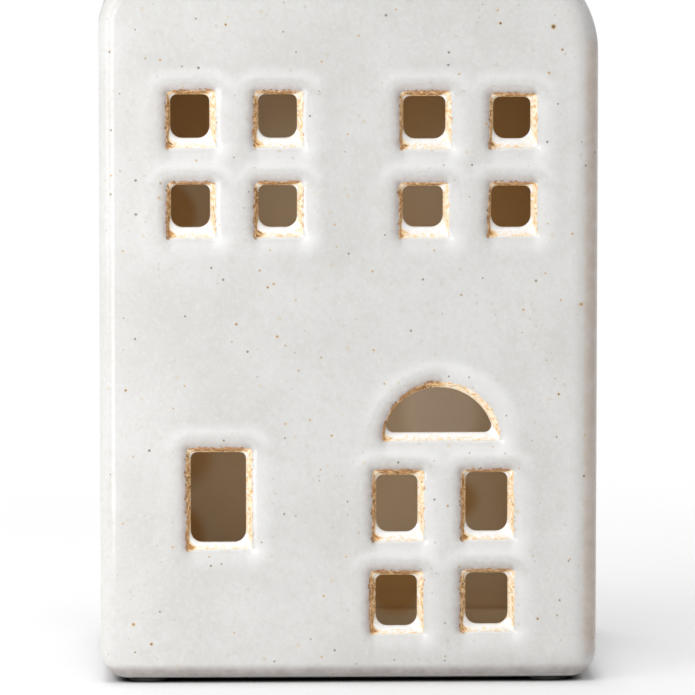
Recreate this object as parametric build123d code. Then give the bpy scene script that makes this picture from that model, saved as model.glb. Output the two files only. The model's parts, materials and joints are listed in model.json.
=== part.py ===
from build123d import *
import math
import os

# Tealight house: a slip-cast stoneware house with cut windows, open below,
# that is set over a tealight. It stands on four felt pads.
# Millimetres and degrees. The front looks along -Y, Z is up, and the origin
# is under the middle of the house, on the surface that it stands on.

# House body
house_width = 100.0
house_depth = 75.0
eave_height = 136.1
roof_pitch = 39.5
wall_thickness = 4.5
base_corner_radius = 5.5
left_shoulder_radius = 9.0
right_shoulder_radius = 21.0
ridge_radius = 10.0
face_edge_radius = 3.2

# Opening in the base, for the tealight
base_rim_width = 9.0
base_opening_corner_radius = 12.0
base_opening_bevel = 0.8

# Cut of every window: it narrows inward, and its front edge is eased
reveal_inset = 1.2
window_corner_radius = 1.2
lip_bevel = 0.8

# Eight upper windows, in two storeys of four
upper_window_width = 10.0
upper_window_height = 11.3
upper_column_shares = (-0.631, -0.281, 0.302, 0.654)
upper_row_shares = (0.831, 0.700)
upper_width_shares = ((1.01, 1.00, 1.06, 0.98), (1.00, 0.99, 1.01, 0.98))
upper_height_shares = ((1.02, 1.03, 1.03, 0.98), (0.98, 0.98, 0.97, 1.00))

# Single window on the left of the ground floor
side_window_width = 13.8
side_window_height = 20.6
side_window_x_share = -0.521
side_window_z_share = 0.275

# Door: four panes under a half-round fanlight
door_pane_width = 11.2
top_pane_height = 14.4
low_pane_height = 13.0
door_bar_width = 7.0
door_rail_height = 6.0
door_centre_x_share = 0.376
door_sill_height = 9.3
fanlight_width = 23.7
fanlight_height = 11.6
fanlight_rail_height = 6.2

# Felt pads
pad_diameter = 8.0
pad_thickness = 0.8

# Tealight cup
cup_diameter = 37.0
cup_height = 16.0
cup_wall = 0.3
cup_foot_bevel = 1.0
cup_flange_width = 0.5
cup_side_clearance = 3.0

# Candle: wax, wick and the pressed steel foot that holds the wick
wax_height = 12.0
wax_clearance = 0.3
wax_dimple_diameter = 9.0
wax_dimple_depth = 0.5
wick_diameter = 1.6
wick_stand = 5.0
sustainer_diameter = 12.0
sustainer_thickness = 0.25
sustainer_neck_diameter = 2.6
sustainer_neck_height = 3.5
fit_clearance = 0.05

# One overrun serves every cut
cut_overrun = 1.0

half_width = house_width / 2
half_depth = house_depth / 2
eave_z = pad_thickness + eave_height
apex_z = eave_z + half_width * math.tan(math.radians(roof_pitch))
cup_rim_radius = cup_diameter / 2 + cup_flange_width
tealight_x = base_rim_width + cup_side_clearance + cup_rim_radius - half_width
wax_base_z = cup_wall + fit_clearance
wax_top_z = wax_base_z + wax_height


def round_corner(face, point, radius):
    """Round the corner of a flat face that lies nearest to a point."""
    corner = face.vertices().sort_by_distance(point)[0]
    return fillet(corner, radius)


def gable_outline():
    """Front outline of the house, drawn flat, with its height along Y."""
    corners = (
        (-half_width, pad_thickness),
        (half_width, pad_thickness),
        (half_width, eave_z),
        (0, apex_z),
        (-half_width, eave_z),
    )
    radii = (
        base_corner_radius,
        base_corner_radius,
        right_shoulder_radius,
        ridge_radius,
        left_shoulder_radius,
    )
    face = make_face(Polyline(*corners, close=True))
    for point, radius in zip(corners, radii):
        face = round_corner(face, point, radius)
    return face


def end_edges(solid):
    """Edges round the front face and round the back face of a solid."""
    faces = solid.faces().sort_by(Axis.Y)
    return faces[0].edges() + faces[-1].edges()


def hollow_house():
    """Closed gabled shell, with even walls and softened edges."""
    outline = gable_outline()
    outer = extrude(Plane.XZ * outline, amount=half_depth, both=True)
    outer = fillet(end_edges(outer), face_edge_radius)
    inner_outline = offset(outline, amount=-wall_thickness)
    inner_half_depth = half_depth - wall_thickness
    inner = extrude(Plane.XZ * inner_outline, amount=inner_half_depth, both=True)
    return outer - inner


def base_opening():
    """Rounded opening that leaves a rim all round the base."""
    width = house_width - 2 * base_rim_width
    depth = house_depth - 2 * base_rim_width
    shape = RectangleRounded(width, depth, base_opening_corner_radius)
    start = Plane.XY.offset(pad_thickness - cut_overrun)
    return extrude(start * shape, amount=wall_thickness + 2 * cut_overrun)


def soften_base_opening(house):
    """Bevel both edges of the base opening, as a sponge leaves them."""
    reach_x = half_width - base_rim_width / 2
    reach_y = half_depth - base_rim_width / 2
    middle_z = pad_thickness + wall_thickness / 2
    reach_z = wall_thickness / 4
    walls = house.faces().filter_by_position(Axis.Z, middle_z - reach_z, middle_z + reach_z)
    walls = walls.filter_by_position(Axis.X, -reach_x, reach_x)
    walls = walls.filter_by_position(Axis.Y, -reach_y, reach_y)
    edges = [edge for wall in walls for edge in wall.edges().filter_by(Axis.Z, reverse=True)]
    return chamfer(edges, base_opening_bevel)


def narrowing_cut(width, height, x, z):
    """Four-sided cut through the front wall that narrows inward evenly."""
    length = wall_thickness + 2 * cut_overrun
    growth = cut_overrun * reveal_inset / wall_thickness
    inset = reveal_inset + 2 * growth
    wide = width + 2 * growth
    high = height + 2 * growth
    cut = Wedge(wide, length, high, inset, inset, wide - inset, high - inset)
    return Pos(x, -half_depth - cut_overrun + length / 2, z) * cut


def rounded_cut(cut):
    """Round the edges of a window cut that run through the wall."""
    through = cut.edges().filter_by(lambda edge: edge.bounding_box().size.Y > wall_thickness)
    return fillet(through, window_corner_radius)


def pane_cut(width, height, x, z):
    """Cut of a four-sided window, centred at x and z."""
    return rounded_cut(narrowing_cut(width, height, x, z))


def fanlight_cut(width, height, x, z):
    """Cut of the half-round fanlight, centred at x and z like a pane."""
    length = wall_thickness + 2 * cut_overrun
    growth = cut_overrun * reveal_inset / wall_thickness
    radius = (width ** 2 / 4 + height ** 2) / (2 * height)
    outer = radius + growth
    inner = radius - reveal_inset - growth
    middle_y = -half_depth - cut_overrun + length / 2
    arch = Rot(X=-90) * Cone(outer, inner, length)
    arch = Pos(x, middle_y, z + height / 2 - radius) * arch
    tall = Pos(0, 0, height / 2) * narrowing_cut(4 * radius, 2 * height, x, z)
    return rounded_cut(arch & tall)


def upper_windows():
    """Two storeys of four windows, each cut a little differently by hand."""
    cuts = []
    for row, z_share in enumerate(upper_row_shares):
        for column, x_share in enumerate(upper_column_shares):
            width = upper_window_width * upper_width_shares[row][column]
            height = upper_window_height * upper_height_shares[row][column]
            x = half_width * x_share
            z = eave_z * z_share
            cuts.append(pane_cut(width, height, x, z))
    return cuts


def side_window():
    """Tall single window of the ground floor."""
    x = half_width * side_window_x_share
    z = eave_z * side_window_z_share
    return pane_cut(side_window_width, side_window_height, x, z)


def door_windows():
    """Four door panes in two rows, with the fanlight above them."""
    middle_x = half_width * door_centre_x_share
    step = (door_pane_width + door_bar_width) / 2
    low_z = pad_thickness + door_sill_height + low_pane_height / 2
    rail_z = low_z + low_pane_height / 2 + door_rail_height
    top_z = rail_z + top_pane_height / 2
    fan_base_z = top_z + top_pane_height / 2 + fanlight_rail_height
    fan_z = fan_base_z + fanlight_height / 2
    cuts = []
    for x in (middle_x - step, middle_x + step):
        cuts.append(pane_cut(door_pane_width, low_pane_height, x, low_z))
        cuts.append(pane_cut(door_pane_width, top_pane_height, x, top_z))
    cuts.append(fanlight_cut(fanlight_width, fanlight_height, middle_x, fan_z))
    return cuts


def ease_lips(house):
    """Ease the front edge of every window into a lip."""
    front = house.faces().filter_by(Axis.Y).sort_by(Axis.Y)[0]
    edges = [edge for wire in front.inner_wires() for edge in wire.edges()]
    return chamfer(edges, lip_bevel)


def house_body():
    house = hollow_house() - base_opening()
    house = soften_base_opening(house)
    for cut in upper_windows() + [side_window()] + door_windows():
        house = house - cut
    return ease_lips(house)


def foot_pads():
    """Four felt pads under the corners of the base rim, by node name."""
    radius = pad_diameter / 2
    x = half_width - base_corner_radius - radius
    y = half_depth - face_edge_radius - radius
    pad = Cylinder(radius, pad_thickness, align=(Align.CENTER, Align.CENTER, Align.MIN))
    places = {
        "foot_pad_front_left": (-x, -y),
        "foot_pad_front_right": (x, -y),
        "foot_pad_rear_left": (-x, y),
        "foot_pad_rear_right": (x, y),
    }
    return {name: Pos(*place, 0) * pad for name, place in places.items()}


def turned(points):
    """Solid of revolution about Z from a closed list of radius and height."""
    profile = Plane.XZ * make_face(Polyline(*points, close=True))
    return revolve(profile, Axis.Z)


def tealight_cup():
    """Pressed cup with a bevelled foot and a flat rim."""
    radius = cup_diameter / 2
    bore = radius - cup_wall
    foot = radius - cup_foot_bevel
    return turned((
        (0, 0),
        (foot, 0),
        (radius, cup_foot_bevel),
        (radius, cup_height - cup_wall),
        (cup_rim_radius, cup_height - cup_wall),
        (cup_rim_radius, cup_height),
        (bore, cup_height),
        (bore, cup_foot_bevel),
        (foot, cup_wall),
        (0, cup_wall),
    ))


def sustainer_outline(extra):
    """Profile of the wick foot, grown by extra for its seat in the wax."""
    disc = sustainer_diameter / 2 + extra
    neck = sustainer_neck_diameter / 2 + extra
    disc_top = wax_base_z + sustainer_thickness + extra
    neck_top = wax_base_z + sustainer_thickness + sustainer_neck_height + extra
    return disc, neck, disc_top, neck_top


def wick_sustainer():
    """Pressed disc with a neck that grips the wick."""
    disc, neck, disc_top, neck_top = sustainer_outline(0)
    bore = wick_diameter / 2 + fit_clearance
    return turned((
        (bore, wax_base_z),
        (disc, wax_base_z),
        (disc, disc_top),
        (neck, disc_top),
        (neck, neck_top),
        (bore, neck_top),
    ))


def tealight_wax():
    """Wax with a dimple round the wick and a seat for the wick foot."""
    radius = cup_diameter / 2 - cup_wall - wax_clearance
    dimple = wax_dimple_diameter / 2
    disc, neck, disc_top, neck_top = sustainer_outline(fit_clearance)
    bore = wick_diameter / 2 + fit_clearance
    return turned((
        (disc, wax_base_z),
        (radius - cup_foot_bevel, wax_base_z),
        (radius, wax_base_z + cup_foot_bevel),
        (radius, wax_top_z),
        (dimple, wax_top_z),
        (bore, wax_top_z - wax_dimple_depth),
        (bore, neck_top),
        (neck, neck_top),
        (neck, disc_top),
        (disc, disc_top),
    ))


def tealight_wick():
    """Waxed wick, from the foot of its neck to above the wax."""
    height = wax_height + wick_stand
    wick = Cylinder(wick_diameter / 2, height, align=(Align.CENTER, Align.CENTER, Align.MIN))
    return Pos(0, 0, wax_base_z) * wick


def build_part():
    pieces = {"house_body": house_body()}
    pieces.update(foot_pads())
    spot = Pos(tealight_x, 0, 0)
    pieces["tealight_cup"] = spot * tealight_cup()
    pieces["tealight_wax"] = spot * tealight_wax()
    pieces["tealight_wick"] = spot * tealight_wick()
    pieces["wick_sustainer"] = spot * wick_sustainer()
    return pieces


os.makedirs("parts", exist_ok=True)
for node_name, piece in build_part().items():
    export_step(piece, f"parts/{node_name}.step")
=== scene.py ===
import json
import math

import bmesh
import bpy
import numpy as np
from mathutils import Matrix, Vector
from mathutils.geometry import delaunay_2d_cdt

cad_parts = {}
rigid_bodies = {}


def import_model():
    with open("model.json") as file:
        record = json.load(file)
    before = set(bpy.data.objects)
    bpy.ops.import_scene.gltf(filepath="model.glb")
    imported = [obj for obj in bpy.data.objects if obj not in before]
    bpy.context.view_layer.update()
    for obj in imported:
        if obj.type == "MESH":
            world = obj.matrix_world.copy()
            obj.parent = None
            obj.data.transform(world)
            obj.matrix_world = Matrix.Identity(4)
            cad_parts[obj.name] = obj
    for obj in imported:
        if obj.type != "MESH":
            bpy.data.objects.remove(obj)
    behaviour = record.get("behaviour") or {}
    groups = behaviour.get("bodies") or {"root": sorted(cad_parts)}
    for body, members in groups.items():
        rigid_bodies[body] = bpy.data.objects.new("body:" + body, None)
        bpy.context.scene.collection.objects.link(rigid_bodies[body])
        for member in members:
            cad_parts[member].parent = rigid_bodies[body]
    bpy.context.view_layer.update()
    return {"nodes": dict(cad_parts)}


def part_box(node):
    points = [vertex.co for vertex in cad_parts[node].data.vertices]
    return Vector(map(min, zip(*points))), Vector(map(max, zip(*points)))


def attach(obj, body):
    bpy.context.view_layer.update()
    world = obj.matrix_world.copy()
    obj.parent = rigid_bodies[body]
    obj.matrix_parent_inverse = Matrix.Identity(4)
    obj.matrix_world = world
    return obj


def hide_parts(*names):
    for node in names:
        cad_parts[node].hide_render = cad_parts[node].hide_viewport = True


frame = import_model()

MM = 0.001
SEED = 11
SHARP_ANGLE = math.radians(45)

# House, in millimetres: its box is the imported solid's. Its other sizes are as drawn there, but for
# eaves 0.02 lower, which keep the ridge inside that box, and the rounded ends of the hollow
low, high = (np.array(corner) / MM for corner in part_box("house_body"))
HALF_W, BASE = high[0], low[2]
FRONT, BACK = low[1], high[1]
EAVE = 136.88
PITCH = 39.5
WALL = 4.5
EDGE_R = 3.2
INNER_EDGE_R = 3.0
LEAST_R = 0.3
APEX = EAVE + HALF_W * math.tan(math.radians(PITCH))
# Front outline, anticlockwise from the lower left: its corners, their radii, and the steps round each
# corner and along the line after it
CORNERS = ((-HALF_W, BASE), (HALF_W, BASE), (HALF_W, EAVE), (0.0, APEX), (-HALF_W, EAVE))
RADII = (5.5, 5.5, 21.0, 10.0, 9.0)
ARC_STEPS = (12, 12, 20, 16, 14)
LINE_STEPS = (44, 60, 26, 26, 60)
ARC_ROWS, SIDE_ROWS = 9, 28
INNER_ARC_ROWS, INNER_SIDE_ROWS = 8, 14
OPENING = (-41.0, 41.0, -28.5, 28.5)
OPENING_R = 12.0
OPENING_EDGE = 1.0
SOFT_ROWS = 5

# Windows, as measured: left, right, bottom and top of the cut edge, and of the edge inside its band
PANES = (
    ((-36.3, -26.7, 108.1, 119.4), (-35.7, -27.9, 110.1, 118.8)),
    ((-18.9, -9.3, 108.2, 119.3), (-18.1, -10.4, 110.1, 118.8)),
    ((10.4, 20.4, 107.8, 119.2), (10.9, 19.3, 109.9, 118.4)),
    ((28.3, 37.6, 108.0, 118.7), (28.9, 36.3, 109.9, 118.2)),
    ((-36.2, -26.8, 90.1, 101.0), (-35.6, -27.8, 92.2, 100.7)),
    ((-18.7, -9.3, 90.2, 101.1), (-18.1, -10.4, 92.2, 100.6)),
    ((10.2, 19.9, 90.0, 100.9), (10.8, 18.8, 92.2, 100.4)),
    ((28.1, 37.6, 90.2, 100.9), (28.5, 36.4, 92.1, 100.4)),
    ((-32.5, -19.6, 27.2, 47.5), (-31.8, -20.7, 28.6, 46.8)),
    ((4.4, 14.9, 9.9, 22.5), (5.4, 13.7, 11.5, 21.8)),
    ((22.6, 33.3, 10.3, 22.8), (23.5, 32.0, 11.8, 22.2)),
    ((4.9, 15.0, 28.8, 43.0), (5.5, 13.8, 30.6, 42.1)),
    ((22.8, 33.1, 29.0, 43.0), (23.5, 31.9, 30.7, 42.6)),
)
FANLIGHT = ((6.9, 30.4, 49.1, 60.9), (7.1, 29.1, 50.7, 59.8))
CUT_R = 0.35
# How far out of true a window is cut, how far its edges sway, in these numbers of waves, and the
# least and most share of the rust, glaze, painted light and painted shade below that each of them gets
SKEW = (0.06, 0.04)
SWAY, SWAY_WAVES = 0.025, (3, 5, 9, 14)
BAND_SHARE = (0.9, 1.1)
INNER_TOP_R = 1.3
INNER_LOW_R = 2.3
FAN_LOW_R = 1.4

# Soft lip of every window, the swelling round it and the crown of the face
LIP_R = 2.6
LIP_TURN = math.radians(42)
LIP_WIDTH = LIP_R * math.sin(LIP_TURN)
PILLOW = 0.2
PILLOW_CREST = 3.3
PILLOW_SPREAD = 1.9
CROWN = 0.4
CROWN_WIDTH = 12.0
CROWN_FADE = 12.0
WANDER = 0.06
RIM_FADE = 3.0
# Slow waves of the face: how fast each turns across and up, where it starts, and how strong it is
WAVES = ((0.11, 0.047, 0.0, 1.0), (-0.052, 0.083, 2.1, 1.0),
         (0.23, -0.19, 1.3, 0.6), (0.17, 0.27, 0.7, 0.6))
FACE = FRONT + PILLOW + CROWN + WANDER
# Rings outside the cut edge: how far off each is
RING_OUT = (0.0, 0.08, 0.2, 0.36, 0.56, 0.8, 1.08, 1.4, 1.78, 2.2, 2.65)
# Rings inside the cut edge: share of the way to the inner edge, and of the way back through the wall
RING_IN = ((0.05, 0.01), (0.15, 0.032), (0.3, 0.07), (0.45, 0.113), (0.6, 0.16), (0.74, 0.21),
           (0.86, 0.26), (0.95, 0.31), (1.0, 0.37), (0.97, 0.5), (0.88, 0.66), (0.74, 0.83), (0.6, 1.0))
# Spacing of the points between the windows and on the back, and how far they stay off its edges
GRID, GRID_OFF_RIM, GRID_OFF_LIP = 0.95, 0.7, 0.45
BACK_GRID, BACK_OFF_RIM = 4.0, 2.5

# How much bare clay shows at the outer and the inner side of the band, at each corner and
# along the side that follows it, from the lower right corner, anticlockwise. The larger amounts on
# the top and left sides are partly painted shade
OUTER_RUST_AND_SHADE = ((0.10, 0.56), (0.45, 1.20), (0.45, 1.05), (1.20, 0.20))
INNER_RUST_AND_SHADE = ((0.00, 0.45), (0.15, 0.85), (0.10, 0.85), (-0.20, -0.30))
# Which sides have dotted rusty lines along their band, by the same order, and then how far across
# the band each line is, how wide and how rusty
LINES = ((0.0, 0.0), (0.0, 0.0), (0.0, 0.0), (0.0, 1.0))
LINE_ROWS = ((0.10, 0.08, 0.22), (0.55, 0.08, 0.38))
# Where a dark line of painted shadow runs between the band and the glaze inside it, by the same order
SHADOW_LINE = ((0.0, 0.0), (0.3, 1.0), (0.5, 0.15), (0.0, 0.0))
# Share of the way back through the wall where the outer amount of rust and shade starts to give way
# to the inner, and over how much more, and then where the painted shadow line is and how wide
INWARD_FROM, INWARD_OVER = 0.07, 0.1
SHADOW_LINE_AT, SHADOW_LINE_WIDTH = 0.17, 0.03
# Length along the cut edges kept between two windows, so that no two have the same grains
ALONG_STEP = 100.0
# Distance from the nearest cut that stands for none near
FAR_OFF = 9.0
# Glaze round the cut, by the same order: pooled and white above 0, thin and grey below. The white is
# also painted light, on the lower and right sides, and the grey painted shade, on the upper and left
TONE = ((0.9, 0.35), (-0.3, -1.5), (-1.2, -1.25), (-0.2, 0.45))
# Share of the full lip, by the same order
LIP = ((0.9, 0.4), (0.6, 1.0), (1.0, 1.0), (1.0, 1.0))
# How far the pooled white and its painted light reach off the cut and rise to full, and how far the thin
# grey and its painted shade reach
POOLED_LIT_REACH, POOLED_LIT_RISE, THIN_SHADED_REACH = 5.2, 1.7, 3.5
# Share of the pooled white and its painted light at the cut edge itself, beside a window, and how
# much more below it
POOLED_LIT_START, POOLED_LIT_BELOW = 0.2, 0.5
# Painted highlight on the swelling above each window, where it faces up to the light: how much, how
# far off, how wide, and how far it reaches round to the sides
CREST_HIGHLIGHT, CREST_AT, CREST_SPREAD, CREST_LEAN = 0.4, 3.4, 1.3, 0.2
# The warm tint and painted shade of the edges start this far onto the face, are full this far round
# the edge, and end this far round the side; they fade in above the foot, and out below the eaves
TINT_ON_FACE, TINT_FULL, TINT_ON_SIDE = 2.4, 1.5, 10.0
TINT_FOOT, TINT_EAVE, TINT_EAVE_SHARE = 8.0, 10.0, 0.3
# Share of the tint and painted shade at the middle and on the left, and how far right of the middle
# they are full
TINT_LEFT, TINT_ACROSS = 0.05, 40.0


class Sheet:
    """A flat stretch of surface to fill: its points, their flat places and its closed rings."""

    def __init__(self, ids, flat):
        self.ids, self.flat, self.loops = [], [], []
        self.ring(ids, flat)

    def ring(self, ids, flat):
        self.loops.append(list(range(len(self.ids), len(self.ids) + len(ids))))
        self.scatter(ids, flat)

    def scatter(self, ids, flat):
        self.ids += ids
        self.flat += list(flat)


class Builder:
    """Collects the points and faces of a mesh, and the values that its materials read."""

    def __init__(self):
        self.points, self.faces, self.slots = [], [], []
        self.values = {label: [] for label in ("cut", "edge", "rust", "seam", "tone", "along", "across")}

    def add(self, xyz, cut=FAR_OFF, **values):
        start = len(self.points)
        self.points.extend(map(tuple, np.asarray(xyz, float)))
        count = len(self.points) - start
        values["cut"] = cut
        for label, kept in self.values.items():
            kept.extend(np.broadcast_to(values.get(label, 0.0), count).tolist())
        return list(range(start, start + count))

    def face(self, ids, slot=0):
        self.faces.append(tuple(ids))
        self.slots.append(slot)

    def strip(self, a, b, slot=0, skip=()):
        """Four-sided faces between two closed rings of equal length."""
        for i in range(len(a)):
            if i not in skip:
                j = (i + 1) % len(a)
                self.face((a[i], a[j], b[j], b[i]), slot)

    def fill(self, sheet, slot=0):
        """Triangles inside the first ring of a sheet and outside the others."""
        edges = [(loop[i - 1], loop[i]) for loop in sheet.loops for i in range(len(loop))]
        made = delaunay_2d_cdt([Vector(p) for p in sheet.flat], edges, [], 0, 1e-7, True)
        first = [source[0] for source in made[3]]
        flat = np.asarray(sheet.flat)
        triangles = np.array([[first[i] for i in face] for face in made[2]])
        a, b, c = (flat[triangles[:, i]] for i in range(3))
        size = np.abs((b - a)[:, 0] * (c - a)[:, 1] - (b - a)[:, 1] * (c - a)[:, 0])
        middle = (a + b + c) / 3
        within = inside(middle, flat[sheet.loops[0]])
        for loop in sheet.loops[1:]:
            within &= ~inside(middle, flat[loop])
        # spread from the largest triangle inside, up to the rings
        walls = {frozenset(edge) for edge in edges}
        sides = {}
        for t, triangle in enumerate(triangles.tolist()):
            for i in range(3):
                sides.setdefault(frozenset((triangle[i - 1], triangle[i])), []).append(t)
        found = {int(np.argmax(size * within))}
        fresh = list(found)
        while fresh:
            triangle = triangles[fresh.pop()].tolist()
            for i in range(3):
                side = frozenset((triangle[i - 1], triangle[i]))
                if side not in walls:
                    new = [t for t in sides[side] if t not in found]
                    found.update(new)
                    fresh += new
        for t in sorted(found):
            self.face([sheet.ids[i] for i in triangles[t]], slot)

    def piece(self, name, materials):
        data = bpy.data.meshes.new(name)
        data.from_pydata([tuple(v * MM for v in p) for p in self.points], [], self.faces)
        for label, values in self.values.items():
            layer = data.attributes.new(label, "FLOAT", "POINT")
            layer.data.foreach_set("value", np.asarray(values, np.float32))
        for made in materials:
            data.materials.append(made)
        data.polygons.foreach_set("material_index", self.slots)
        data.polygons.foreach_set("use_smooth", [True] * len(self.faces))
        tidy = bmesh.new()
        tidy.from_mesh(data)
        loose = [v for v in tidy.verts if not v.link_faces]
        bmesh.ops.delete(tidy, geom=loose, context="VERTS")
        bmesh.ops.recalc_face_normals(tidy, faces=tidy.faces)
        tidy.to_mesh(data)
        tidy.free()
        data.set_sharp_from_angle(angle=SHARP_ANGLE)
        made = bpy.data.objects.new(name, data)
        bpy.context.scene.collection.objects.link(made)
        return made


def inside(points, polygon):
    """Which points lie inside a polygon."""
    a, b = polygon, np.roll(polygon, -1, 0)
    x, y = points[:, :1], points[:, 1:]
    spans = (a[:, 1] > y) != (b[:, 1] > y)
    rise = np.where(b[:, 1] == a[:, 1], 1e-12, b[:, 1] - a[:, 1])
    cross = x < (b[:, 0] - a[:, 0]) * (y - a[:, 1]) / rise + a[:, 0]
    return (spans & cross).sum(1) % 2 == 1


def distance(points, polygon, block=2000):
    """Distance from each point to the sides of a polygon."""
    a = polygon[None]
    along = np.roll(polygon, -1, 0)[None] - a
    square = (along * along).sum(2)
    found = []
    for start in range(0, len(points), block):
        p = points[start:start + block, None] - a
        t = np.clip((p * along).sum(2) / square, 0, 1)
        found.append(np.sqrt(((p - along * t[..., None]) ** 2).sum(2)).min(1))
    return np.concatenate(found)


def smooth(t):
    t = np.clip(t, 0, 1)
    return t * t * (3 - 2 * t)


def gable(inset):
    """Points of the front outline, pulled in by inset: as many for every inset."""
    corners = np.array(CORNERS)
    ways = np.roll(corners, -1, 0) - corners
    ways /= np.linalg.norm(ways, axis=1)[:, None]
    inward = np.stack((-ways[:, 1], ways[:, 0]), 1)
    arcs = []
    for i in range(len(corners)):
        n0, n1, d0 = inward[i - 1], inward[i], ways[i - 1]
        corner = corners[i] + inset * (n0 + n1) / (1 + n0 @ n1)
        turn = math.acos(max(-1.0, min(1.0, n0 @ n1)))
        radius = max(RADII[i] - inset, LEAST_R)
        centre = corner - d0 * radius * math.tan(turn / 2) + n0 * radius
        a = np.linspace(0, turn, ARC_STEPS[i] + 1)[:, None]
        side = np.array((n0[1], -n0[0]))
        arcs.append(centre + radius * (np.sin(a) * side - np.cos(a) * n0))
    points = []
    for i, arc in enumerate(arcs):
        after = arcs[(i + 1) % len(arcs)][0]
        t = np.linspace(0, 1, LINE_STEPS[i] + 1)[1:-1, None]
        points += [arc, arc[-1] * (1 - t) + after * t]
    return np.concatenate(points)


# Stretch of every gable ring that is the flat of the base
BASE_FIRST = ARC_STEPS[0]
BASE_LAST = BASE_FIRST + LINE_STEPS[0]
BASE_SPAN = range(BASE_FIRST, BASE_LAST)

# Points of a window's outline at each corner and along each side
ARC_POINTS = 6
SIDE_POINTS = 24


def pane_outline(box, low_r, top_r):
    """Outline of a four-sided window, with rounded corners."""
    left, right, bottom, top = box
    arcs = []
    for i, (sx, sz) in enumerate(((1, -1), (1, 1), (-1, 1), (-1, -1))):
        radius = low_r if sz < 0 else top_r
        a = np.radians(np.linspace(-90 + 90 * i, 90 * i, ARC_POINTS))
        corner = np.array((right if sx > 0 else left, top if sz > 0 else bottom))
        centre = corner - radius * np.array((sx, sz))
        arcs.append(centre + radius * np.stack((np.cos(a), np.sin(a)), 1))
    points = []
    t = np.linspace(0, 1, SIDE_POINTS + 2)[1:-1, None]
    for i, arc in enumerate(arcs):
        points += [arc, arc[-1] * (1 - t) + arcs[(i + 1) % 4][0] * t]
    return np.concatenate(points)


def fan_outline(box, low_r):
    """Outline of a half-round window, with its two lower corners rounded."""
    left, right, bottom, top = box
    half, height, middle = (right - left) / 2, top - bottom, (left + right) / 2
    big = (half * half + height * height) / (2 * height)
    z = low_r - height + big
    x = math.sqrt((big - low_r) ** 2 - z * z)
    lean = math.atan2(z, x)
    turn = np.linspace(-math.pi / 2, lean, ARC_POINTS)
    arch = np.linspace(lean, math.pi - lean, 3 * SIDE_POINTS + 2)[1:-1]
    line = np.linspace(0, 1, 2 * SIDE_POINTS + 2)[1:-1, None]
    corner = low_r * np.stack((np.cos(turn), np.sin(turn)), 1)
    return (middle, bottom) + np.concatenate((
        np.array((x, low_r)) + corner,
        np.array((0, height - big)) + big * np.stack((np.cos(arch), np.sin(arch)), 1),
        np.array((-x, low_r)) + corner[::-1] * (-1, 1),
        np.array((-x, 0)) * (1 - line) + np.array((x, 0)) * line,
    ))


def by_side(table, fan):
    """Values along an outline from a table by corner and side, eased where they meet."""
    half = 3 * SIDE_POINTS // 2
    if fan:
        parts = ((ARC_POINTS, table[0][0]), (half, table[0][1]), (half, table[1][1]),
                 (ARC_POINTS, table[3][0]), (2 * SIDE_POINTS, table[3][1]))
    else:
        parts = [(count, value) for pair in table for count, value in zip((ARC_POINTS, SIDE_POINTS), pair)]
    values = np.concatenate([np.full(count, value, float) for count, value in parts])
    for _ in range(3):
        values = (np.roll(values, 1) + values + np.roll(values, -1)) / 3
    return values


def outward(points):
    """Outward normals of a closed outline."""
    ways = np.roll(points, -1, 0) - np.roll(points, 1, 0)
    ways /= np.linalg.norm(ways, axis=1)[:, None]
    return np.stack((ways[:, 1], -ways[:, 0]), 1)


def window_shapes(rng):
    """Cut edge, inner edge and band values of every window, each cut a little unevenly."""
    outlines = []
    for box, inner_box in PANES:
        inner = pane_outline(inner_box, INNER_LOW_R, INNER_TOP_R)
        outlines.append((pane_outline(box, CUT_R, CUT_R), inner, False))
    outlines.append((fan_outline(FANLIGHT[0], CUT_R), fan_outline(FANLIGHT[1], FAN_LOW_R), True))
    tables = {"outer": OUTER_RUST_AND_SHADE, "inner": INNER_RUST_AND_SHADE, "seam": SHADOW_LINE,
              "tone": TONE, "lip": LIP, "lines": LINES}
    shapes = []
    for cut, inner, fan in outlines:
        middle = (cut.min(0) + cut.max(0)) / 2
        share = (cut - middle) / (cut.max(0) - middle)
        cut = cut + share[:, ::-1] * rng.normal(0, SKEW, 2)
        turn = np.linspace(0, 2 * math.pi, len(cut), endpoint=False)
        for waves in SWAY_WAVES:
            sway = rng.normal(0, SWAY) * np.cos(waves * turn + rng.uniform(0, 6.28))
            cut = cut + outward(cut) * sway[:, None]
        band = {label: by_side(table, fan) * rng.uniform(*BAND_SHARE) for label, table in tables.items()}
        shapes.append((cut, inner, band))
    return shapes


def lip_depth(d):
    """Depth of the rolled lip at a distance from the cut edge."""
    u = np.clip(LIP_WIDTH - d, 0, LIP_WIDTH)
    return LIP_R - np.sqrt(LIP_R ** 2 - u ** 2)


def wander(x, z):
    """Slow unevenness of a hand-finished face, from -1 to 1."""
    total = sum(share * np.sin(across * x + up * z + start) for across, up, start, share in WAVES)
    return total / sum(wave[3] for wave in WAVES)


def crown(flat):
    """How far the face stands back at its sides and along the roof, but not along the base."""
    rim = gable(EDGE_R)
    # the lower part of the outline counts as far below, so that the base has no crown
    rim[rim[:, 1] < EAVE / 2, 1] -= HALF_W
    t = np.clip(distance(flat, rim) / CROWN_WIDTH, 0, 1)
    return CROWN * (1 - (1 - t) ** 2)


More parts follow.
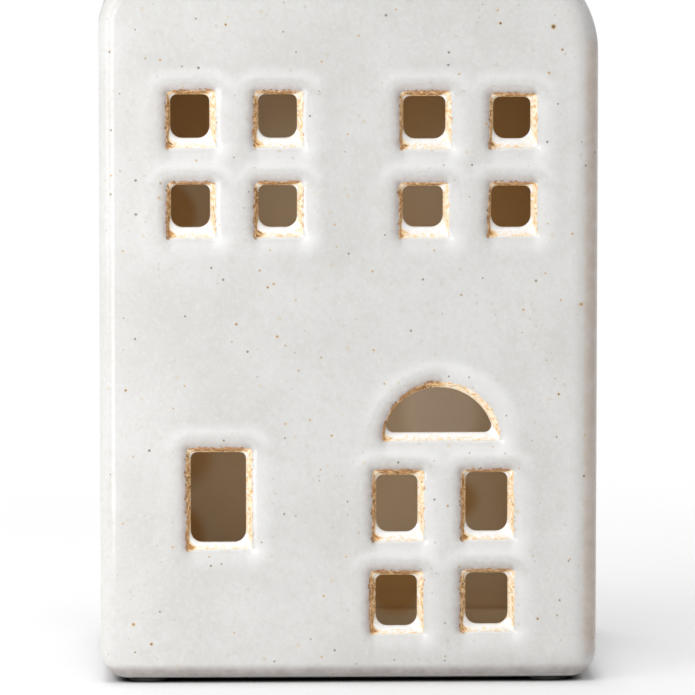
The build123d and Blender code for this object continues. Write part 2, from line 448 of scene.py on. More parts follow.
class Front:
    """Shape of the front face: its crown, swellings and lips."""

    def __init__(self, shapes):
        self.polygons = [cut for cut, _, _ in shapes]
        self.lips = [band["lip"] for _, _, band in shapes]
        self.tones = [band["tone"] for _, _, band in shapes]
        self.ups = [smooth(outward(polygon)[:, 1] + CREST_LEAN) for polygon in self.polygons]
        downs = [smooth(-outward(polygon)[:, 1]) for polygon in self.polygons]
        self.starts = [POOLED_LIT_START + POOLED_LIT_BELOW * down for down in downs]
        self.rim = gable(EDGE_R)
        self.reach = 3 * PILLOW_SPREAD + PILLOW_CREST

    def near(self, flat, polygon):
        return ((flat > polygon.min(0) - self.reach) & (flat < polygon.max(0) + self.reach)).all(1)

    def nearest(self, flat):
        return self.distances(flat).min(0)

    def distances(self, flat):
        found = np.full((len(self.polygons), len(flat)), 4 * self.reach)
        for row, polygon in zip(found, self.polygons):
            near = self.near(flat, polygon)
            if near.any():
                row[near] = distance(flat[near], polygon)
        return found

    def lip(self, flat):
        """Depth of the rolled lips over flat places."""
        depth = np.zeros(len(flat))
        for polygon, shares in zip(self.polygons, self.lips):
            near = self.near(flat, polygon)
            if near.any():
                closest = np.linalg.norm(flat[near, None] - polygon[None], axis=2).argmin(1)
                rolled = lip_depth(distance(flat[near], polygon))
                depth[near] = np.maximum(depth[near], shares[closest] * rolled)
        return depth

    def to_rim(self, flat):
        return distance(flat, self.rim)

    def tone(self, flat):
        """How pooled or thin the glaze is over flat places near windows, with painted light and shade."""
        total, crest_highlight = np.zeros(len(flat)), np.zeros(len(flat))
        for polygon, tones, ups, starts in zip(self.polygons, self.tones, self.ups, self.starts):
            near = self.near(flat, polygon)
            if near.any():
                apart = np.linalg.norm(flat[near, None] - polygon[None], axis=2)
                closest, d = apart.argmin(1), apart.min(1)
                value = tones[closest]
                start = starts[closest]
                rising = start + (1 - start) * smooth(d / POOLED_LIT_RISE)
                pooled_and_lit = value * smooth(1 - d / POOLED_LIT_REACH) * rising
                total[near] += np.where(value > 0, pooled_and_lit, value * smooth(1 - d / THIN_SHADED_REACH))
                # painted highlight on the swelling above the window
                arc = CREST_HIGHLIGHT * ups[closest] * np.exp(-((d - CREST_AT) / CREST_SPREAD) ** 2)
                crest_highlight[near] = np.maximum(crest_highlight[near], arc)
        return total + crest_highlight

    def place(self, flat):
        """Points of the face over flat places, and their distance from the nearest cut."""
        flat = np.asarray(flat)
        d = self.distances(flat)
        swell = np.tanh(np.exp(-((d - PILLOW_CREST) / PILLOW_SPREAD) ** 2).sum(0))
        fade = smooth(self.to_rim(flat) / RIM_FADE)
        uneven = WANDER * wander(flat[:, 0], flat[:, 1])
        y = FACE - crown(flat) - fade * (PILLOW * swell + uneven) + self.lip(flat)
        return np.stack((flat[:, 0], y, flat[:, 1]), 1), d.min(0)


def upright(flat, y):
    """Points at depth y over flat places."""
    return np.stack((flat[:, 0], np.broadcast_to(y, len(flat)), flat[:, 1]), 1)


def edge_tint_and_shade(flat, along_skin):
    """Thin glaze and painted shade on the edges, by the way along the skin from the flat face to the side.
    """
    onto_face = smooth((along_skin + TINT_ON_FACE) / (TINT_ON_FACE + TINT_FULL))
    onto_side = smooth((TINT_ON_SIDE - along_skin) / (TINT_ON_SIDE - TINT_FULL - 1))
    below_eave = smooth((EAVE - 1 - flat[:, 1]) / TINT_EAVE)
    height = smooth(flat[:, 1] / TINT_FOOT) * (TINT_EAVE_SHARE + (1 - TINT_EAVE_SHARE) * below_eave)
    rightward = smooth(flat[:, 0] / TINT_ACROSS)
    return onto_face * onto_side * (TINT_LEFT + (1 - TINT_LEFT) * rightward * height)


def gable_rings(b, steps, slot, stand=0.0):
    """Rings of the gable outline joined into a skin, with a gap for the flat of the base."""
    rings = []
    for inset, y, along_skin, follow in steps:
        flat = gable(inset)
        rings.append(b.add(upright(flat, y - follow * stand), edge=edge_tint_and_shade(flat, along_skin)))
    curved = [k for k, step in enumerate(steps) if step[0] != min(s[0] for s in steps)]
    flat_rows = [k for k in range(len(rings)) if k not in curved]
    for k in range(len(rings) - 1):
        skip = BASE_SPAN if k in flat_rows and k + 1 in flat_rows else ()
        b.strip(rings[k], rings[k + 1], slot, skip)
    return rings, [rings[k] for k in flat_rows]


def skin_steps(inset, front, back, radius, arc_rows, rows):
    """Inset, depth, way along the skin and share of the face's crown of each ring of a rounded skin."""
    arc = np.linspace(0, math.pi / 2, arc_rows)
    ends = [(inset + radius * (1 - math.sin(a)), radius * (1 - math.cos(a)), radius * a) for a in arc]
    ends[-1] = (inset, radius, ends[-1][2])
    middle = np.linspace(front + radius, back - radius, rows)[1:-1]
    steps = [(i, front + y, s) for i, y, s in ends]
    steps += [(inset, y, ends[-1][2] + min(y - front, back - y) - radius) for y in middle]
    steps += [(i, back - y, s) for i, y, s in ends[::-1]]
    return [(i, y, s, float(smooth(1 - (y - front - radius) / CROWN_FADE))) for i, y, s in steps]


def base_between(b, rows, ring, slot):
    """Flat of the base between a skin's gap and a ring of the base opening."""
    loop = rows[0][BASE_FIRST:BASE_LAST + 1] + [row[BASE_LAST] for row in rows[1:-1]]
    loop += rows[-1][BASE_FIRST:BASE_LAST + 1][::-1] + [row[BASE_FIRST] for row in rows[1:-1]][::-1]
    sheet = Sheet(loop, [b.points[i][:2] for i in loop])
    sheet.ring(ring, [b.points[i][:2] for i in ring])
    b.fill(sheet, slot)


def base_opening(b, outer_rows, inner_rows):
    """Opening in the base, with its edges softened, and the base round it."""
    hole = pane_outline(OPENING, OPENING_R, OPENING_R)
    rings = []
    for z0, sign in ((BASE, 1), (BASE + WALL, -1)):
        for a in np.linspace(0, math.pi / 2, SOFT_ROWS)[::sign]:
            flat = hole + outward(hole) * OPENING_EDGE * (1 - math.sin(a))
            z = z0 + sign * OPENING_EDGE * (1 - math.cos(a))
            rings.append(b.add(np.column_stack((flat, np.full(len(flat), z)))))
    for before, after in zip(rings, rings[1:]):
        b.strip(before, after, 1)
    base_between(b, outer_rows, rings[0], 1)
    base_between(b, inner_rows, rings[-1], 1)


def grid_inside(outline, step):
    """Even grid of places inside an outline."""
    (x0, z0), (x1, z1) = outline.min(0), outline.max(0)
    grid = np.array([(x, z) for z in np.arange(z0, z1, step) for x in np.arange(x0, x1, step)])
    return grid[inside(grid, outline)]


def window_rings(b, front, number, cut, hole, band):
    """Rings of a window, over its lip and in along its reveal: gives the outermost and the innermost."""
    gaps = np.linalg.norm(np.roll(cut, -1, 0) - cut, axis=1)
    along = ALONG_STEP * number + np.concatenate(((0.0,), np.cumsum(gaps)[:-1]))
    rings = []
    for d in RING_OUT[::-1]:
        flat = cut + outward(cut) * d
        xyz, _ = front.place(flat)
        tone = front.tone(flat)
        edge = edge_tint_and_shade(flat, -front.to_rim(flat))
        ids = b.add(xyz, cut=d, rust=band["outer"], tone=tone, edge=edge, along=along, across=d)
        rings.append((ids, flat))
    edge_y = xyz[:, 1]
    width = np.linalg.norm(hole - cut, axis=1)
    for t, depth in RING_IN:
        flat = cut * (1 - t) + hole * t
        y = edge_y * (1 - depth) + (FRONT + WALL) * depth
        inward = smooth((depth - INWARD_FROM) / INWARD_OVER)
        # rust, with painted shade adding to it on the top and left sides
        rust = band["outer"] * (1 - inward) + band["inner"] * inward
        for row, spread, amount in LINE_ROWS:
            rust = rust + band["lines"] * amount * math.exp(-((t - row) / spread) ** 2)
        # painted shadow line between the band and the glaze inside it
        seam = band["seam"] * math.exp(-((depth - SHADOW_LINE_AT) / SHADOW_LINE_WIDTH) ** 2)
        ids = b.add(upright(flat, y), cut=-depth, rust=rust, seam=seam, tone=tone,
                    along=along, across=-t * width)
        rings.append((ids, flat))
    for (before, _), (after, _) in zip(rings, rings[1:]):
        b.strip(before, after)
    return rings[0], rings[-1]


def house_mesh(glaze, raw):
    """The whole house as one closed mesh, glazed outside and bare within and below."""
    b = Builder()
    shapes = window_shapes(np.random.default_rng(SEED))
    front = Front(shapes)

    steps = skin_steps(0.0, FACE, BACK, EDGE_R, ARC_ROWS, SIDE_ROWS)
    outer, outer_base = gable_rings(b, steps, 0, crown(gable(EDGE_R)))
    steps = skin_steps(WALL, FRONT + WALL, BACK - WALL, INNER_EDGE_R, INNER_ARC_ROWS, INNER_SIDE_ROWS)
    inner, inner_base = gable_rings(b, steps, 1)

    # Front wall, outside and inside, with its windows
    face = Sheet(outer[0], gable(EDGE_R))
    inner_face = Sheet(inner[0], gable(WALL + INNER_EDGE_R))
    for number, (cut, hole, band) in enumerate(shapes):
        outermost, innermost = window_rings(b, front, number, cut, hole, band)
        face.ring(*outermost)
        inner_face.ring(*innermost)
    grid = grid_inside(gable(EDGE_R + GRID_OFF_RIM), GRID)
    grid = grid[front.nearest(grid) > RING_OUT[-1] + GRID_OFF_LIP]
    for cut, _, _ in shapes:
        grid = grid[~inside(grid, cut)]
    xyz, d = front.place(grid)
    edge = edge_tint_and_shade(grid, -front.to_rim(grid))
    face.scatter(b.add(xyz, cut=d, tone=front.tone(grid), edge=edge), grid)
    b.fill(face)
    b.fill(inner_face, 1)

    # Back wall, outside and inside
    back = Sheet(outer[-1], gable(EDGE_R))
    grid = grid_inside(gable(EDGE_R + BACK_OFF_RIM), BACK_GRID)
    back.scatter(b.add(upright(grid, BACK)), grid)
    b.fill(back)
    b.fill(Sheet(inner[-1], gable(WALL + INNER_EDGE_R)), 1)

    base_opening(b, outer_base, inner_base)
    return b.piece("stoneware_house", [glaze, raw])


def lathe(name, made, profile, centre, turns, uneven=None):
    """Turned piece from a closed list of radius and height, set at centre x and y."""
    b = Builder()
    a = np.linspace(0, 2 * math.pi, turns, endpoint=False)
    rings = []
    for radius, z in profile:
        spread = radius if uneven is None else radius * uneven(a, z)
        x, y = centre[0] + spread * np.cos(a), centre[1] + spread * np.sin(a)
        rings.append(b.add(np.column_stack((x, y, np.full(turns, z)))))
    for before, after in zip(rings, rings[1:]):
        b.strip(before, after)
    b.face(rings[0][::-1])
    b.face(rings[-1])
    return b.piece(name, [made])


def material(name):
    made = bpy.data.materials.new(name)
    made.use_nodes = True
    tree = made.node_tree
    tree.nodes.clear()
    out = tree.nodes.new("ShaderNodeOutputMaterial")
    shader = tree.nodes.new("ShaderNodeBsdfPrincipled")
    tree.links.new(shader.outputs[0], out.inputs[0])
    return made, tree, shader


class Nodes:
    """Short ways to add and join the nodes of one material."""

    def __init__(self, tree):
        self.tree = tree

    def link(self, a, b):
        self.tree.links.new(a, b)

    def put(self, socket, value):
        if isinstance(value, bpy.types.NodeSocket):
            self.link(value, socket)
        else:
            socket.default_value = value

    def coords(self):
        return self.tree.nodes.new("ShaderNodeTexCoord").outputs["Object"]

    def attribute(self, name):
        node = self.tree.nodes.new("ShaderNodeAttribute")
        node.attribute_name = name
        return node.outputs["Fac"]

    def math(self, kind, a, b=0.0, c=0.0):
        node = self.tree.nodes.new("ShaderNodeMath")
        node.operation = kind
        for socket, value in zip(node.inputs, (a, b, c)):
            self.put(socket, value)
        return node.outputs[0]

    def times(self, *values):
        product = values[0]
        for value in values[1:]:
            product = self.math("MULTIPLY", product, value)
        return product

    def range(self, value, a, b, c=0.0, d=1.0, smooth=True):
        node = self.tree.nodes.new("ShaderNodeMapRange")
        node.interpolation_type = "SMOOTHSTEP" if smooth else "LINEAR"
        node.clamp = True
        for socket, v in zip(node.inputs, (value, a, b, c, d)):
            self.put(socket, v)
        return node.outputs[0]

    def noise(self, vector, scale, detail, rough, distortion=0.0):
        node = self.tree.nodes.new("ShaderNodeTexNoise")
        self.put(node.inputs["Vector"], vector)
        node.inputs["Scale"].default_value = scale
        node.inputs["Detail"].default_value = detail
        node.inputs["Roughness"].default_value = rough
        node.inputs["Distortion"].default_value = distortion
        return node.outputs["Fac"]

    def voronoi(self, vector, scale):
        node = self.tree.nodes.new("ShaderNodeTexVoronoi")
        self.put(node.inputs["Vector"], vector)
        node.inputs["Scale"].default_value = scale
        node.inputs["Randomness"].default_value = 1.0
        return node.outputs["Distance"], node.outputs["Color"]

    def mix(self, factor, a, b):
        node = self.tree.nodes.new("ShaderNodeMix")
        node.data_type = "RGBA"
        self.put(node.inputs[0], factor)
        self.put(node.inputs[6], a)
        self.put(node.inputs[7], b)
        return node.outputs[2]

    def split(self, color):
        node = self.tree.nodes.new("ShaderNodeSeparateColor")
        self.link(color, node.inputs[0])
        return node.outputs

    def parts(self, vector):
        node = self.tree.nodes.new("ShaderNodeSeparateXYZ")
        self.link(vector, node.inputs[0])
        return node.outputs

    def join(self, x, y, z):
        node = self.tree.nodes.new("ShaderNodeCombineXYZ")
        for socket, value in zip(node.inputs, (x, y, z)):
            self.put(socket, value)
        return node.outputs[0]

    def apart(self, a, b):
        node = self.tree.nodes.new("ShaderNodeVectorMath")
        node.operation = "DISTANCE"
        self.put(node.inputs[0], a)
        self.put(node.inputs[1], b)
        return node.outputs["Value"]

    def bump(self, height, distance, strength, normal=None):
        node = self.tree.nodes.new("ShaderNodeBump")
        node.inputs["Strength"].default_value = strength
        node.inputs["Distance"].default_value = distance
        self.link(height, node.inputs["Height"])
        if normal is not None:
            self.link(normal, node.inputs["Normal"])
        return node.outputs[0]


def rgb(r, g, b):
    return (r, g, b, 1.0)


# The largest specks of the front: across, up, radius and how dark, from 0 to 1; the first is a pit
LARGE_SPECKS = (
    (40.8, 132.3, 0.72, 1.00), (30.2, 133.0, 0.46, 0.95), (38.0, 13.0, 0.39, 0.82),
    (-22.6, 72.8, 0.39, 0.78), (42.1, 58.5, 0.39, 0.90), (-39.8, 8.1, 0.46, 0.86),
    (-43.4, 12.1, 0.50, 0.36), (46.6, 76.6, 0.49, 0.47), (-44.8, 59.5, 0.41, 0.65),
    (42.6, 127.7, 0.37, 0.75), (-16.3, 80.2, 0.37, 0.71), (-14.4, 70.3, 0.41, 0.49),
    (-3.5, 50.3, 0.34, 0.56), (-24.6, 132.8, 0.39, 0.59),
)


def large_specks(n, where):
    """Masks of the warm and of the dark parts of the largest specks."""
    x, y, z = n.parts(where)
    flat = n.join(x, 0.0, z)
    warm = dark = 0.0
    for across, up, radius, darkness in LARGE_SPECKS:
        apart = n.apart(flat, (across * MM, 0.0, up * MM))
        warm = n.math("MAXIMUM", warm, n.range(apart, radius * MM, 0.45 * radius * MM))
        core = n.range(apart, 0.65 * radius * MM, 0.15 * radius * MM)
        dark = n.math("MAXIMUM", dark, n.times(core, darkness))
    front = n.math("LESS_THAN", y, 0.0)
    return n.times(warm, front), n.times(dark, front)


def specks(n, where, cell_mm, size_mm, share):
    """Mask of round specks: a share of the cells holds one, of varied size."""
    dist, color = n.voronoi(where, 1 / (cell_mm * MM))
    parts = n.split(color)
    size = n.range(parts[0], 0.0, 1.0, 0.35 * size_mm / cell_mm, size_mm / cell_mm, False)
    soft = n.math("SUBTRACT", size, dist)
    mask = n.times(n.range(soft, 0.0, 0.25 * size_mm / cell_mm), n.range(parts[0], 0.1, 1.0, 0.2, 0.9))
    chosen = n.math("LESS_THAN", parts[1], share)
    return n.math("MULTIPLY", mask, chosen), parts[2]


def plain_glaze(n, where, fine):
    """Clouded off-white glaze, with painted shade that is darkest over the middle of the front."""
    cloud = n.noise(where, 48, 5, 0.6, 0.3)
    mist = n.noise(where, 1300, 3, 0.65)
    base = n.mix(n.range(cloud, 0.32, 0.68), rgb(0.750, 0.744, 0.726), rgb(0.687, 0.679, 0.659))
    base = n.mix(n.range(fine, 0.5, 0.8, 0, 0.3), base, rgb(0.61, 0.577, 0.533))
    base = n.mix(n.range(mist, 0.5, 0.75, 0, 0.28), base, rgb(0.60, 0.577, 0.544))
    base = n.mix(n.range(mist, 0.48, 0.3, 0, 0.32), base, rgb(0.83, 0.827, 0.81))
    x, _, z = n.parts(where)
    # painted shade, darkest over the middle of the front and fading towards its edges
    off_middle = n.apart(n.join(x, 0.0, n.times(z, 0.65)), (-0.012, 0.0, 0.0455))
    painted_shade_middle = n.range(n.times(off_middle, off_middle), 0.0, 0.0045, 0.153, 0.034, False)
    return n.mix(painted_shade_middle, base, rgb(0.0, 0.0, 0.0))


def shaded_thin_edges(n, where, fine, base):
    """Painted shade and thin glaze, warm along the right edges and grey along the foot."""
    edge = n.attribute("edge")
    # painted shade on the right edges, with a warm line of thin glaze towards the side
    edge_thin_and_shade = n.times(edge, n.range(fine, 0.25, 0.7, 0.75, 1.0))
    shade_and_warm_tint = n.mix(n.range(edge, 0.6, 0.95), rgb(0.45, 0.43, 0.415), rgb(0.46, 0.37, 0.305))
    base = n.mix(n.times(edge_thin_and_shade, 0.80), base, shade_and_warm_tint)
    z = n.parts(where)[2]
    # painted shade low on the foot, with a grey line of thin glaze
    foot = n.times(n.range(z, 0.0042, 0.0024), n.range(z, 0.0010, 0.0019, 0.1, 1.0))
    return n.mix(n.times(foot, n.range(fine, 0.3, 0.7, 0.7, 0.95)), base, rgb(0.36, 0.325, 0.305))


def window_glaze_light_and_shade(n, where, cut, base):
    """Pooled white and painted light below and right of windows, thin grey and painted shade above and
    left.
    """
    tone = n.attribute("tone")
    # painted light with the pooled white, below and right of each window
    pooled_and_lit = n.times(n.range(tone, 0.0, 1.0, 0.0, 1.0, False), 0.85)
    base = n.mix(pooled_and_lit, base, rgb(0.90, 0.895, 0.885))
    # painted shade with the thin grey glaze, above and left of each window, darkest at the cut
    thin_glaze_and_shade = n.times(n.range(tone, -0.1, -1.0), n.range(n.noise(where, 700, 3, 0.6), 0.3, 0.7, 0.5, 1.0))
    base = n.mix(n.times(thin_glaze_and_shade, 0.7), base, rgb(0.50, 0.45, 0.42))
    return n.mix(n.times(thin_glaze_and_shade, n.range(cut, 1.5, 0.0), 0.75), base, rgb(0.36, 0.30, 0.28))


def speckled(n, where, base):
    """Faint grey-tan, faint tan, orange-brown and dark specks, and the largest ones."""
    faint, _ = specks(n, where, 2.9, 0.42, 0.4)
    base = n.mix(n.times(faint, 0.3), base, rgb(0.42, 0.36, 0.28))
    tan, _ = specks(n, where, 3.4, 0.55, 0.8)
    base = n.mix(n.times(tan, 0.28), base, rgb(0.60, 0.41, 0.17))
    warm, kind = specks(n, where, 2.5, 0.33, 1.0)
    shade = n.mix(n.range(kind, 0.2, 0.8), rgb(0.56, 0.34, 0.10), rgb(0.13, 0.10, 0.06))
    base = n.mix(n.times(warm, 0.85), base, shade)
    dark, _ = specks(n, where, 3.6, 0.24, 0.6)
    base = n.mix(n.times(dark, 0.7), base, rgb(0.1, 0.07, 0.05))
    ring, core = large_specks(n, where)
    base = n.mix(n.times(ring, 0.8), base, rgb(0.55, 0.32, 0.09))
    return n.mix(core, base, rgb(0.09, 0.05, 0.03))


def cut_band(n, cut):
    """Band inside the cut edge, ragged outward: its colour, its mask, where it is bare, and its grain."""
    rust = n.attribute("rust")
    along, across = n.attribute("along"), n.attribute("across")
    grains = n.noise(n.join(n.times(along, 0.6), across, 0.0), 1.6, 2, 0.6)
    apart, kinds = n.voronoi(n.join(n.times(along, 0.8), across, 5.0), 1.55)
    granules = n.times(n.range(apart, 0.5, 0.25), n.range(n.split(kinds)[0], 0.1, 0.6))
    # pooled white, cream, tan and rusty clay, by the amount of rust, partly painted shade on top and left
    amount = n.math("MULTIPLY_ADD", grains, 2.2, n.math("ADD", rust, -1.1))
    body = n.mix(n.range(amount, 0.1, 0.3), rgb(0.95, 0.94, 0.92), rgb(0.95, 0.81, 0.61))
    body = n.mix(n.range(amount, 0.4, 0.75), body, rgb(0.84, 0.56, 0.28))
    body = n.mix(n.range(amount, 0.8, 1.2), body, rgb(0.44, 0.21, 0.065))
    spots = n.times(granules, n.range(rust, 0.1, 0.7))
    spotted = n.mix(n.range(rust, 0.45, 0.85), rgb(0.60, 0.31, 0.08), rgb(0.22, 0.10, 0.022))
    body = n.mix(n.times(spots, 0.9), body, spotted)
    # painted shadow line between the band and the glaze inside it
    body = n.mix(n.times(n.attribute("seam"), 0.85), body, rgb(0.20, 0.10, 0.04))
    # stray rust just outside the edge
    off_cut = n.range(cut, 0.0, 1.0, 0.0, 1.0, False)
    stray = n.math("MULTIPLY_ADD", off_cut, -2.0, n.math("MULTIPLY_ADD", spots, 0.5, amount))
    spread = n.times(n.range(stray, 0.2, 0.6), n.range(cut, 1.2, 0.7), 0.85)
    band = n.math("MAXIMUM", n.range(cut, 0.02, -0.02), spread)
    return body, band, n.times(band, n.range(amount, 0.3, 0.6)), n.times(band, grains)


def glaze_material():
    """Off-white speckled glaze that breaks to rusty clay along the cuts, with painted light and shade."""
    made, tree, shader = material("speckled_glaze")
    n = Nodes(tree)
    where = n.coords()
    cut = n.attribute("cut")
    fine = n.noise(where, 420, 3, 0.6)
    base = plain_glaze(n, where, fine)
    base = shaded_thin_edges(n, where, fine, base)
    base = window_glaze_light_and_shade(n, where, cut, base)
    base = speckled(n, where, base)
    body, band, bare, grain = cut_band(n, cut)
    n.link(n.mix(band, base, body), shader.inputs["Base Color"])
    rough = n.range(fine, 0.3, 0.7, 0.13, 0.19, False)
    n.link(n.math("MULTIPLY_ADD", bare, 0.45, rough), shader.inputs["Roughness"])
    shader.inputs["IOR"].default_value = 1.5
    height = n.math("MULTIPLY_ADD", n.noise(where, 260, 2, 0.5), 0.7, n.math("MULTIPLY", fine, 0.35))
    even = n.bump(height, 0.0001, 0.3)
    n.link(n.bump(grain, 0.0002, 0.6, even), shader.inputs["Normal"])
    return made


# Painted shade and painted light on the inside, as darker and paler patches: across, up, radius and
# how much paler
INSIDE_LIGHT_AND_SHADE = (
    (-34, 111, 15, -0.35), (-38, 89, 9, -0.35), (38, 111, 15, -0.40), (39, 91, 12, -0.22),
    (18, 111, 12, -0.10), (-13, 111, 11, -0.05), (21, 47, 13, 0.30), (12, 11, 9, -0.32),
    (-37, 20, 10, -0.35), (-33, 37, 8, -0.14), (25, 28, 6, -0.15),
)


def raw_material():
    """Bare brown stoneware of the inside and the underside, washed paler in places, with painted light and
    shade.
    """
    made, tree, shader = material("bare_stoneware")
    n = Nodes(tree)
    where = n.coords()
    x, _, z = n.parts(where)
    flat = n.join(x, 0.0, z)
    wash_and_light = n.math("MULTIPLY_ADD", n.noise(where, 34, 1, 0.4), 0.4, 0.285)
    # painted light where light comes in by the openings, painted shade round it
    for across, up, radius, amount in INSIDE_LIGHT_AND_SHADE:
        apart = n.apart(flat, (across * MM, 0.0, up * MM))
        wash_and_light = n.math("ADD", wash_and_light, n.range(apart, radius * MM, 0.3 * radius * MM, 0.0, amount))
    grain = n.noise(where, 1800, 4, 0.7)
    base = n.mix(n.range(wash_and_light, 0.34, 0.56), rgb(0.445, 0.245, 0.078), rgb(0.585, 0.44, 0.275))
    base = n.mix(n.range(wash_and_light, 0.6, 0.8), base, rgb(0.70, 0.56, 0.41))
    base = n.mix(n.range(grain, 0.55, 0.72, 0, 0.12), base, rgb(0.36, 0.21, 0.1))
    n.link(base, shader.inputs["Base Color"])
    shader.inputs["Roughness"].default_value = 0.8
    n.link(n.bump(grain, 0.00015, 0.6), shader.inputs["Normal"])
    return made


def simple_material(name, color, other, scale, roughness, metallic=0.0):
    """Material of two mixed colours, slightly uneven in roughness and height."""
    made, tree, shader = material(name)
    n = Nodes(tree)
    speckle = n.noise(n.coords(), scale, 4, 0.6)
    n.link(n.mix(n.range(speckle, 0.3, 0.7), color, other), shader.inputs["Base Color"])
    n.link(n.range(speckle, 0.2, 0.8, roughness - 0.06, roughness + 0.08), shader.inputs["Roughness"])
    shader.inputs["Metallic"].default_value = metallic
    n.link(n.bump(speckle, 0.00005, 0.6), shader.inputs["Normal"])
    return made


house = house_mesh(glaze_material(), raw_material())
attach(house, "house")
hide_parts("house_body")


def node_box(name):
    """Middle x and y, half width, lowest and highest z of a node, in millimetres."""
    least, most = (np.array(corner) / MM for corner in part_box(name))
    return (least + most)[:2] / 2, (most - least)[0] / 2, least[2], most[2]


def rounded(radius, bottom, top, soft):
    """Profile of a disc with rounded edges, from the middle of its base to its top."""
    a = np.linspace(0, math.pi / 2, SOFT_ROWS)
    low_edge = [(radius - soft * (1 - math.sin(t)), bottom + soft * (1 - math.cos(t))) for t in a]
    top_edge = [(radius - soft * (1 - math.sin(t)), top - soft * (1 - math.cos(t))) for t in a[::-1]]
    return [(0.5 * radius, bottom)] + low_edge + top_edge + [(0.5 * radius, top)]


PAD_SOFT, PAD_TURNS = 0.25, 48
felt = simple_material("dark_felt", rgb(0.03, 0.027, 0.025), rgb(0.06, 0.055, 0.05), 3500, 0.9)
for side in ("front_left", "front_right", "rear_left", "rear_right"):
    centre, radius, bottom, top = node_box("foot_pad_" + side)
    pad = lathe("felt_" + side, felt, rounded(radius, bottom, top, PAD_SOFT), centre, PAD_TURNS)
    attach(pad, "house")
    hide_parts("foot_pad_" + side)

STRANDS, TWIST, STRAND_DEPTH = 3, 1.1, 0.1
WICK_ROWS, WICK_TURNS = 60, 36


def braid(a, z):
    """Share of the wick's radius at an angle and a height."""
    return 1 - STRAND_DEPTH + STRAND_DEPTH * np.abs(np.cos(STRANDS * (a - TWIST * z) / 2)) ** 0.7


cotton = simple_material("waxed_cotton", rgb(0.80, 0.77, 0.70), rgb(0.62, 0.58, 0.5), 4000, 0.75)
centre, radius, bottom, top = node_box("tealight_wick")
wick_profile = [(radius, z) for z in np.linspace(bottom, top - 0.3, WICK_ROWS)]
wick_profile += [(0.8 * radius, top - 0.12), (0.45 * radius, top)]
wick = lathe("braided_wick", cotton, wick_profile, centre, WICK_TURNS, braid)
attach(wick, "candle")
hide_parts("tealight_wick")

# Materials of the pieces that keep their solids: name, two colours, scale, roughness and metal
DRESS = {
    "tealight_cup": ("pressed_aluminium", rgb(0.85, 0.85, 0.86), rgb(0.74, 0.74, 0.75), 500, 0.3, 1.0),
    "tealight_wax": ("candle_wax", rgb(0.87, 0.85, 0.79), rgb(0.82, 0.8, 0.74), 120, 0.45, 0.0),
    "wick_sustainer": ("tinned_steel", rgb(0.62, 0.62, 0.63), rgb(0.5, 0.5, 0.51), 900, 0.35, 1.0),
}
for name, looks in DRESS.items():
    node = frame["nodes"][name]
    node.data.materials.clear()
    node.data.materials.append(simple_material(*looks))

# Floor: half its width, how far its painted contact shade reaches round what stands on it, and from
# where to where it turns plain white
FLOOR_FAR = 6.0
CONTACT_SHADE_REACH, WHITE_FROM, WHITE_AT = 0.003, 0.11, 0.32


def floor_material():
    """Floor that takes the object's shadow, painted shade and painted light close by, and shines white
    away from it.
    """
    made, tree, shader = material("white_floor")
    n = Nodes(tree)
    shader.inputs["Roughness"].default_value = 0.9
    shader.inputs["Specular IOR Level"].default_value = 0.0
    # painted contact shade: the floor's colour goes dark where little sky is open to it
    contact_shade = tree.nodes.new("ShaderNodeAmbientOcclusion")
    contact_shade.inputs["Distance"].default_value = CONTACT_SHADE_REACH
    open_sky = n.range(contact_shade.outputs["AO"], 0.08, 0.5)
    color = n.mix(open_sky, rgb(0.02, 0.018, 0.016), rgb(0.885, 0.885, 0.89))
    n.link(color, shader.inputs["Base Color"])
    # it shines only where it is seen, directly or mirrored, so that it doesn't light the object
    path = tree.nodes.new("ShaderNodeLightPath")
    seen = n.math("MAXIMUM", path.outputs["Is Camera Ray"], path.outputs["Is Glossy Ray"])
    seen = n.math("MAXIMUM", seen, path.outputs["Is Transmission Ray"])
    # painted light: close by, it glows partly white outside the footprint, lifting the object's shadow,
    # and less so behind the object
    place = n.parts(n.coords())
    beyond_x = n.math("SUBTRACT", n.math("ABSOLUTE", place[0]), HALF_W * MM)
    beyond_y = n.math("SUBTRACT", n.math("ABSOLUTE", place[1]), BACK * MM)
    clear = n.math("MAXIMUM", n.range(beyond_x, -0.001, 0.003), n.range(beyond_y, 0.0, 0.007))
    beside = n.range(beyond_x, 0.0, 0.01, 0.36, 0.6)
    painted_light_near_by = n.times(clear, n.range(place[1], -0.035, 0.06, beside, 0.05))
    span = n.apart(n.coords(), (0.0, 0.0, 0.0))
    far_off = n.range(span, WHITE_FROM, WHITE_AT)
    glow = tree.nodes.new("ShaderNodeEmission")
    glow.inputs["Strength"].default_value = 1.0
    blend = tree.nodes.new("ShaderNodeMixShader")
    n.link(n.times(seen, n.math("MAXIMUM", painted_light_near_by, far_off)), blend.inputs[0])
    n.link(shader.outputs[0], blend.inputs[1])
    n.link(glow.outputs[0], blend.inputs[2])
    n.link(blend.outputs[0], tree.nodes["Material Output"].inputs[0])
    return made


floor_mesh = bpy.data.meshes.new("floor")
square = [(FLOOR_FAR * x, FLOOR_FAR * y, 0.0) for x, y in ((-1, -1), (1, -1), (1, 1), (-1, 1))]
floor_mesh.from_pydata(square, [], [(0, 1, 2, 3)])
floor_mesh.materials.append(floor_material())
floor = bpy.data.objects.new("floor", floor_mesh)
bpy.context.scene.collection.objects.link(floor)

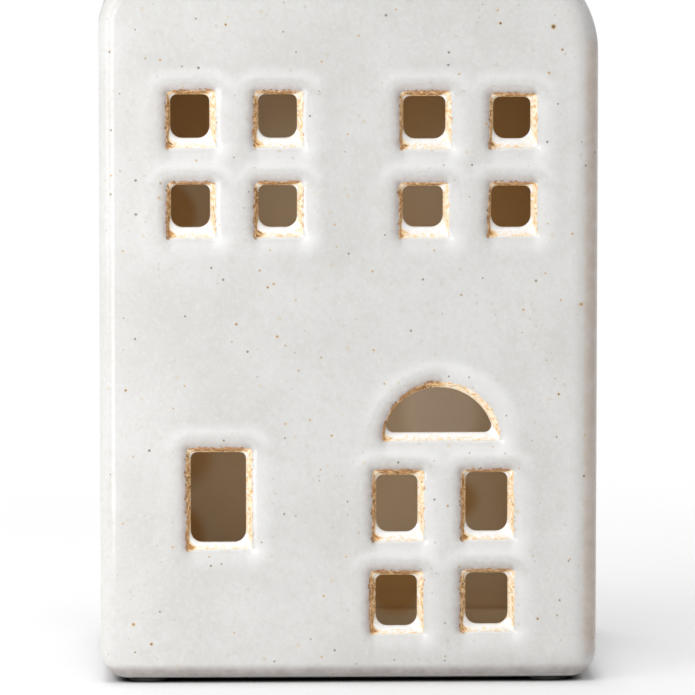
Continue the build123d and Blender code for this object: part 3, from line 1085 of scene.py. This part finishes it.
# World: soft light, seen as white
world = bpy.data.worlds.new("studio")
bpy.context.scene.world = world
world.use_nodes = True
tree = world.node_tree
tree.nodes.clear()
n = Nodes(tree)
soft_light, white_light = (tree.nodes.new("ShaderNodeBackground") for _ in range(2))
for node, strength in ((soft_light, 0.5), (white_light, 1.0)):
    node.inputs["Color"].default_value = rgb(1.0, 1.0, 1.0)
    node.inputs["Strength"].default_value = strength
by_ray = tree.nodes.new("ShaderNodeMixShader")
n.link(tree.nodes.new("ShaderNodeLightPath").outputs["Is Camera Ray"], by_ray.inputs[0])
n.link(soft_light.outputs[0], by_ray.inputs[1])
n.link(white_light.outputs[0], by_ray.inputs[2])
n.link(by_ray.outputs[0], tree.nodes.new("ShaderNodeOutputWorld").inputs[0])


def area_light(name, middle, azimuth, elevation, reach, size, power, mirrored=True):
    """Soft box aimed at a place, by angles from the front, left negative."""
    data = bpy.data.lights.new(name, "AREA")
    data.shape = "RECTANGLE"
    data.size, data.size_y = size
    data.energy = power
    lamp = bpy.data.objects.new(name, data)
    bpy.context.scene.collection.objects.link(lamp)
    a, e = math.radians(azimuth), math.radians(elevation)
    way = Vector((math.sin(a) * math.cos(e), -math.cos(a) * math.cos(e), math.sin(e)))
    lamp.location = Vector(middle) + way * reach
    lamp.rotation_euler = (-way).to_track_quat("-Z", "Y").to_euler()
    lamp.visible_camera = False
    lamp.visible_glossy = mirrored


# Lights: where each is aimed, its two angles, how far off it is, its size and its power
area_light("key", (0, 0, 0.06), -54, 17, 0.8, (0.4, 0.7), 2.05)
area_light("strip", (-0.048, -0.0375, 0.072), -21, 0, 0.18, (0.058, 0.2), 0.155)
area_light("top", (0, 0, 0.07), -30, 82, 0.9, (0.6, 0.6), 3.4)
area_light("back", (0, 0, 0.07), -165, 58, 0.9, (0.6, 0.6), 2.3)
# Light that comes in by the openings, spread over the inside of the back wall
area_light("inside", (0.003, 0.02, 0.064), 0, 0, 0.045, (0.06, 0.11), 0.016, False)

# Camera
DISTANCE = 1.2
TILT, AZIMUTH = math.radians(6.0), math.radians(-1.5)
FOCAL_PX, FRAME_PX, SENSOR_MM = 5988.5, 695.0, 36.0
LOOK_AT = Vector((-0.00033, -0.0375, 0.06809))
way = Vector((-math.sin(AZIMUTH) * math.cos(TILT), math.cos(AZIMUTH) * math.cos(TILT), -math.sin(TILT)))
camera_data = bpy.data.cameras.new("camera")
camera_data.sensor_width = SENSOR_MM
camera_data.sensor_height = SENSOR_MM
camera_data.lens = FOCAL_PX / FRAME_PX * SENSOR_MM
camera_data.clip_end = 20
camera = bpy.data.objects.new("camera", camera_data)
bpy.context.scene.collection.objects.link(camera)
camera.location = LOOK_AT - way * DISTANCE
camera.rotation_euler = way.to_track_quat("-Z", "Y").to_euler()
bpy.context.scene.camera = camera
bpy.context.scene.view_settings.view_transform = "Standard"
